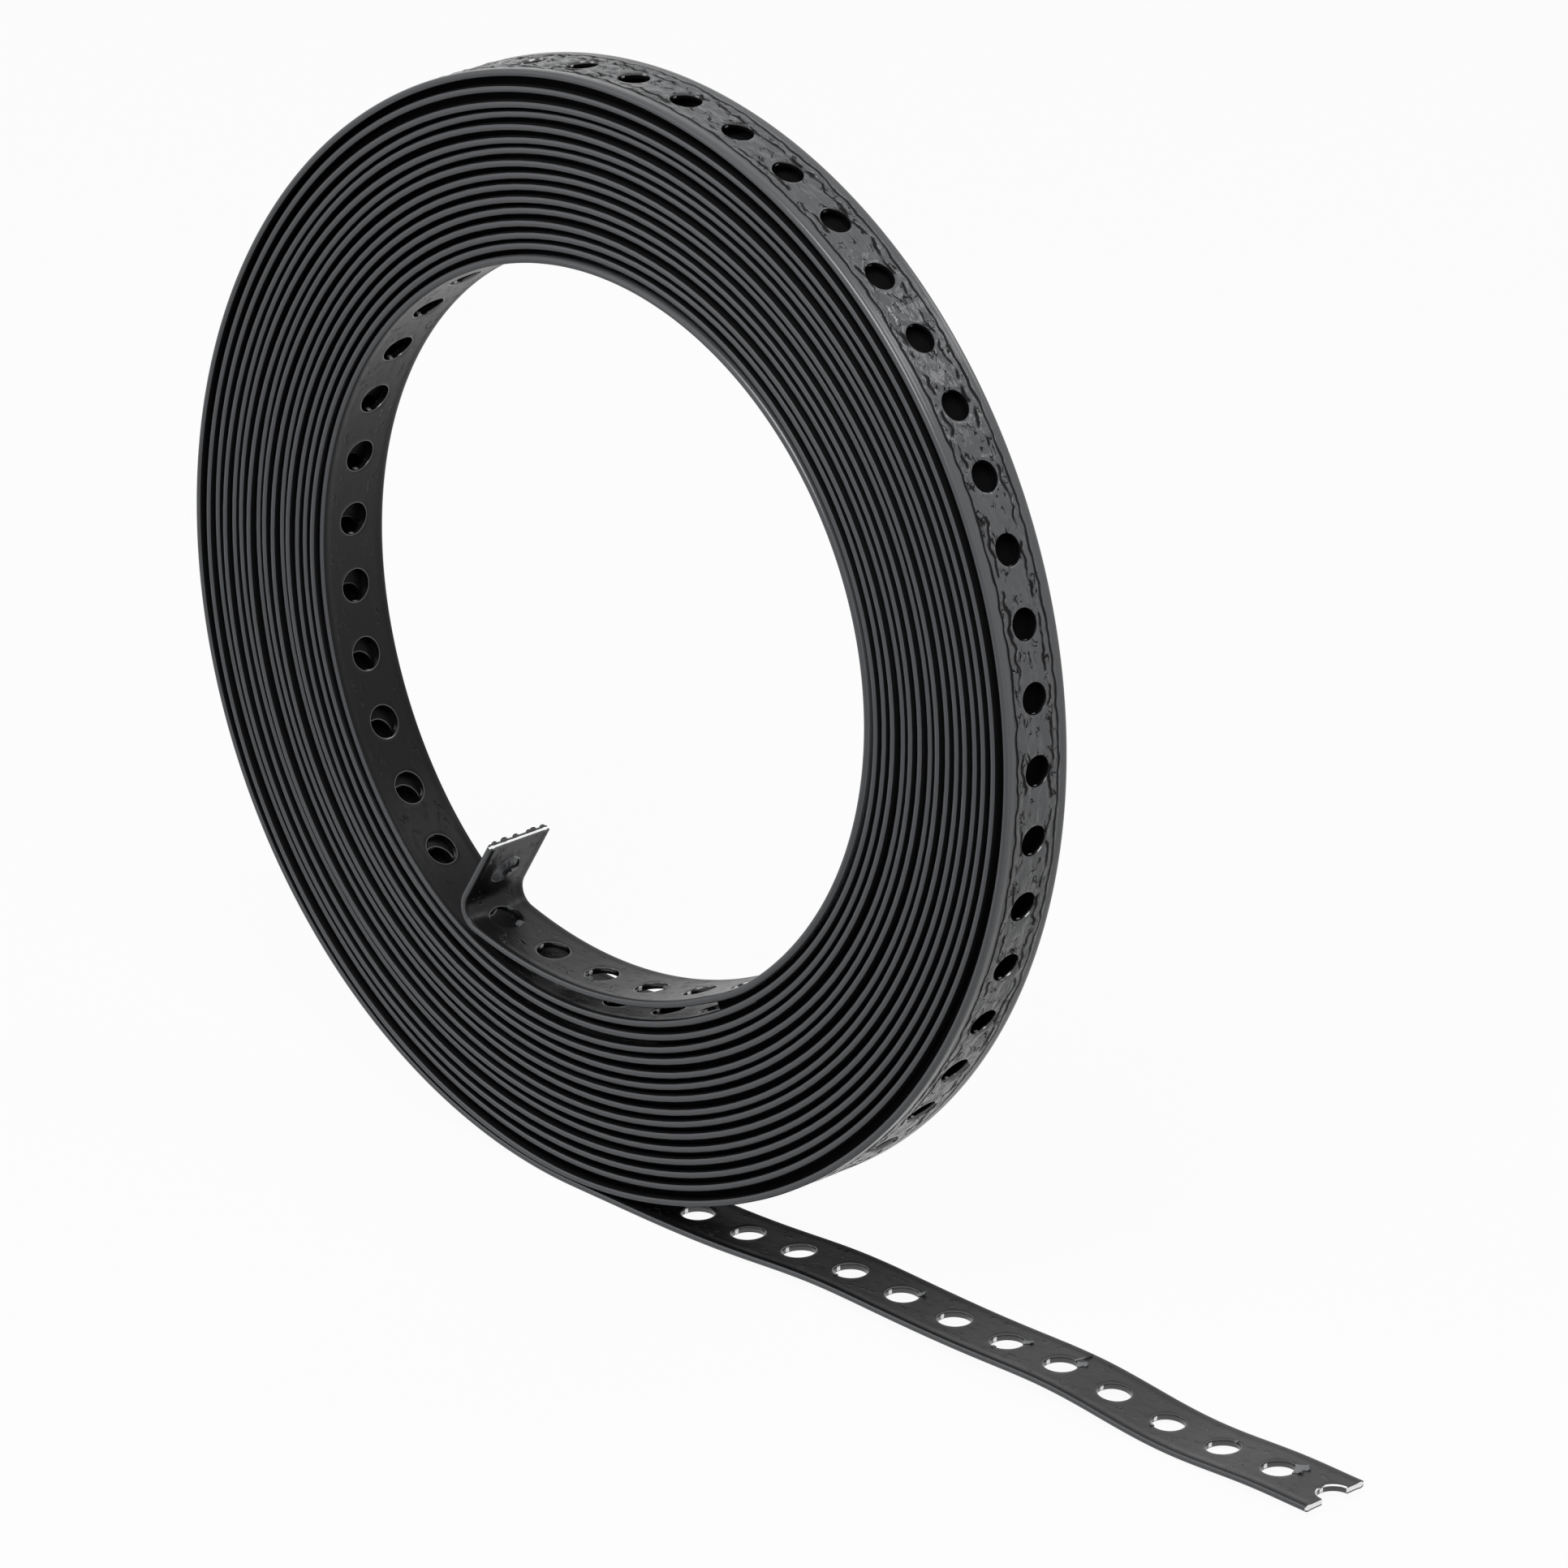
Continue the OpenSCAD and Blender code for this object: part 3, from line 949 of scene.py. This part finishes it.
def build_strap():
    """The strap in six runs that meet end to end: only the turns that show have their holes."""
    finishes = (
        smooth_coat(),
        flowed_coat(),
        edge_coat(),
        cut_steel(),
        hole_coat(),
        hidden_coat(),
        torn_coat(),
    )
    guide, whole = strap_path()
    lip_hole = whole - LIP_HOLE
    # Where the runs meet, in pitches from the tail's cut and in pitches before the lip
    outer_end = math.ceil(length_to(OUTER_TO) / PITCH)
    second_end = math.ceil(length_to(SECOND_TO) / PITCH)
    under_from = math.ceil((whole - length_to(MIDDLE_TO)) / PITCH)
    inner_from = math.ceil((whole - length_to(UNDER_TO)) / PITCH)
    middle_from = (second_end - 0.5) * PITCH + RIM_SLIDE
    middle_end = lip_hole - (under_from - 0.5) * PITCH - BORE_SLIDE

    tail = build_tail()
    outer = build_outer_turn(TAIL_PITCHES, outer_end)
    second = build_second_turn(outer_end, second_end)
    inner = build_inner_turn(whole, lip_hole, inner_from)
    under = build_turn_under(lip_hole, under_from, inner_from)
    middle = build_middle_turns(middle_from, middle_end)

    # Each run with where its UV starts, its holes, and the finishes of its outer face and what stands proud
    chart_end = lip_hole + CHART_GAP * PITCH
    runs = (
        (tail, 0.0, HOLE_R, OUTER, TORN),
        (outer, 0.0, POOLED_HOLE_R, OUTER, None),
        # The covered turns' outer faces and their lumps take the hidden finish: painted shade
        (second, 0.0, HOLE_R, HIDDEN, HIDDEN),
        (middle, 0.0, NO_HOLE, HIDDEN, HIDDEN),
        (under, chart_end, HOLE_R, HIDDEN, HIDDEN),
        (inner, chart_end, HOLE_R, OUTER, EDGE),
    )
    for run, first, hole, covered, proud in runs:
        unwrap(run, first)
        paint(run, first, finishes, hole, covered, proud)
    for run in (tail, outer, second):
        slide(run, RIM_SLIDE_FROM, RIM_SLIDE_TO, RIM_SLIDE)
    for run in (under, inner):
        slide(run, whole - BORE_SLIDE_FROM, whole - BORE_SLIDE_TO, -BORE_SLIDE)
    pieces = [run[0] for run in runs]
    for piece in pieces:
        wind(piece, guide)
    bpy.data.objects.remove(guide)
    return pieces


# Light: a white room whose light comes mostly from above and behind, and three softboxes round the coil
ROOM_BRIGHT = (0.0, 0.6, 0.8)
ROOM_LOW, ROOM_HIGH = (-0.3, 0.05), (0.9, 0.35)
# Softboxes: place and size in metres, and radiance
SOFTBOXES = (
    ("front_softbox", (0.55, -0.85, 1.5), (1.1, 1.1), 8.5),
    ("back_softbox", (0.65, 1.15, 1.35), (0.7, 0.5), 3.5),
    ("side_softbox", (-0.95, -1.3, 0.62), (0.8, 0.8), 3.5),
)
# The paper, and the share of its look that is plain white, so that its shadow stays faint
PAPER = "#BEBEBE"
PAPER_WHITE = 0.95
PAPER_ROUGH = 0.9
PAPER_SIZE = 12.0


def seen_directly(tree):
    """1 on rays that show a surface, straight or by reflection, and 0 on rays that light things."""
    ray = add(tree, "LightPath")
    seen = add(tree, "Math", (ray.outputs["Is Camera Ray"], ray.outputs["Is Glossy Ray"]), **LARGER)
    return add(tree, "Math", (seen, ray.outputs["Is Transmission Ray"]), **LARGER)


def build_floor():
    """White paper under the coil: matt, and so evenly lit that the eye sees hardly any shadow."""
    bpy.ops.object.select_all(action="DESELECT")
    bpy.ops.mesh.primitive_plane_add(size=PAPER_SIZE)
    floor = bpy.context.object
    floor.name = floor.data.name = "floor"
    look = {"Base Color": linear(PAPER), "Roughness": PAPER_ROUGH}
    finish, tree, shader = new_finish("white_paper", look)
    white = add(tree, "Emission", {"Color": WHITE, "Strength": 1.0})
    share = add(tree, "Math", (seen_directly(tree), PAPER_WHITE), **TIMES)
    both = add(tree, "MixShader", (share, shader, white))
    connect(tree, tree.nodes["Material Output"], {"Surface": both})
    floor.data.materials.append(finish)


def build_room():
    """White all round where it is seen, and a dimmer light from above and behind on the strap."""
    world = bpy.data.worlds.new("white_room")
    bpy.context.scene.world = world
    world.use_nodes = True
    tree = world.node_tree
    way = add(tree, "TexCoord").outputs["Generated"]
    facing = add(tree, "VectorMath", (way, ROOM_BRIGHT), operation="DOT_PRODUCT").outputs["Value"]
    room = add(tree, "MapRange", (facing, ROOM_LOW[0], ROOM_HIGH[0], ROOM_LOW[1], ROOM_HIGH[1]))
    strength = add(tree, "MapRange", (seen_directly(tree), 0.0, 1.0, room, 1.0))
    connect(tree, tree.nodes["Background"], {"Color": WHITE, "Strength": strength})


def build_softbox(name, place, size, radiance):
    """A rectangle of soft light that faces the origin."""
    lamp = bpy.data.lights.new(name, "AREA")
    lamp.shape = "RECTANGLE"
    lamp.size, lamp.size_y = size
    lamp.energy = radiance * math.pi * lamp.size * lamp.size_y
    softbox = bpy.data.objects.new(name, lamp)
    bpy.context.scene.collection.objects.link(softbox)
    softbox.location = place
    softbox.rotation_euler = softbox.location.to_track_quat("Z", "Y").to_euler()


# Camera: where it looks and how far it stands off in millimetres, its angles, and its lens
TARGET = (7.18, 0.0, 105.11)
DISTANCE = 2074.0
AZIMUTH, ELEVATION, ROLL = 45.35, 22.69, 0.95
LENS, SENSOR = 235.8, 36.0
# How far it sees, in metres
CLIP_END = 50.0


def build_camera():
    """The camera at the photograph's viewing angle."""
    azimuth, elevation = math.radians(AZIMUTH), math.radians(ELEVATION)
    away = Vector(
        (
            math.sin(azimuth) * math.cos(elevation),
            -math.cos(azimuth) * math.cos(elevation),
            math.sin(elevation),
        )
    )
    camera = bpy.data.cameras.new("camera")
    camera.lens = LENS
    camera.sensor_width = SENSOR
    camera.clip_end = CLIP_END
    holder = bpy.data.objects.new("camera", camera)
    bpy.context.scene.collection.objects.link(holder)
    holder.location = (Vector(TARGET) + DISTANCE * away) * MM
    upright = away.to_track_quat("Z", "Y")
    holder.rotation_euler = (upright @ Quaternion((0.0, 0.0, 1.0), math.radians(ROLL))).to_euler()
    bpy.context.scene.camera = holder


for piece in build_strap():
    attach(piece, "root")
    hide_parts("strap")
build_floor()
build_room()
for softbox in SOFTBOXES:
    build_softbox(*softbox)
build_camera()
bpy.context.scene.view_settings.view_transform = "Standard"
